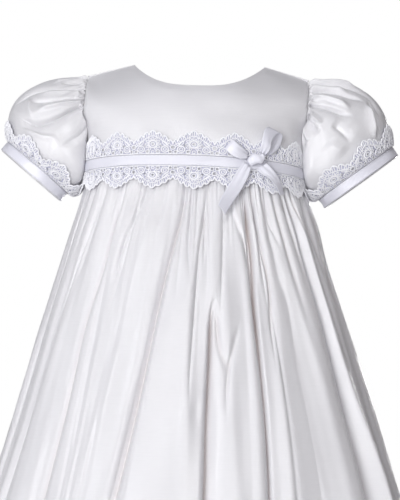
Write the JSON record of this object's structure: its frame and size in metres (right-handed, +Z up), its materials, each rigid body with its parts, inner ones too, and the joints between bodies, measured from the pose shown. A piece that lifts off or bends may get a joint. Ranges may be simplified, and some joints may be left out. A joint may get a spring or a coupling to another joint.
{
  "type": "christening gown",
  "caption": "Long silk christening gown with short puff sleeves, a high waist, a full gathered skirt, scalloped lace, satin ribbon and a small bow.",
  "frame": {"origin": "midway between the two points where the shoulder seams meet the neck", "axes": "+Z up the gown, -Y out of its front, +X to the wearer's left"},
  "size_m": [0.5832, 0.427, 0.792],
  "materials": {
    "silk": "soft sheen",
    "ribbon": "satin",
    "lace": "matt",
    "button": "soft sheen"
  },
  "bodies": {
    "root": {"bodice_front": "silk", "bodice_back_left": "silk", "bodice_back_right": "silk", "skirt_front": "silk", "skirt_back_left": "silk", "skirt_back_right": "silk", "sleeve_left": "silk", "sleeve_right": "silk", "waist_ribbon": "ribbon", "sleeve_band_left": "ribbon", "sleeve_band_right": "ribbon", "bow_loop_left": "ribbon", "bow_loop_right": "ribbon", "bow_knot": "ribbon", "bow_tail_left": "ribbon", "bow_tail_right": "ribbon", "waist_lace_upper": "lace", "waist_lace_lower": "lace", "sleeve_lace_left": "lace", "sleeve_lace_right": "lace", "button_1": "button", "button_2": "button", "button_3": "button"}
  },
  "joints": []
}
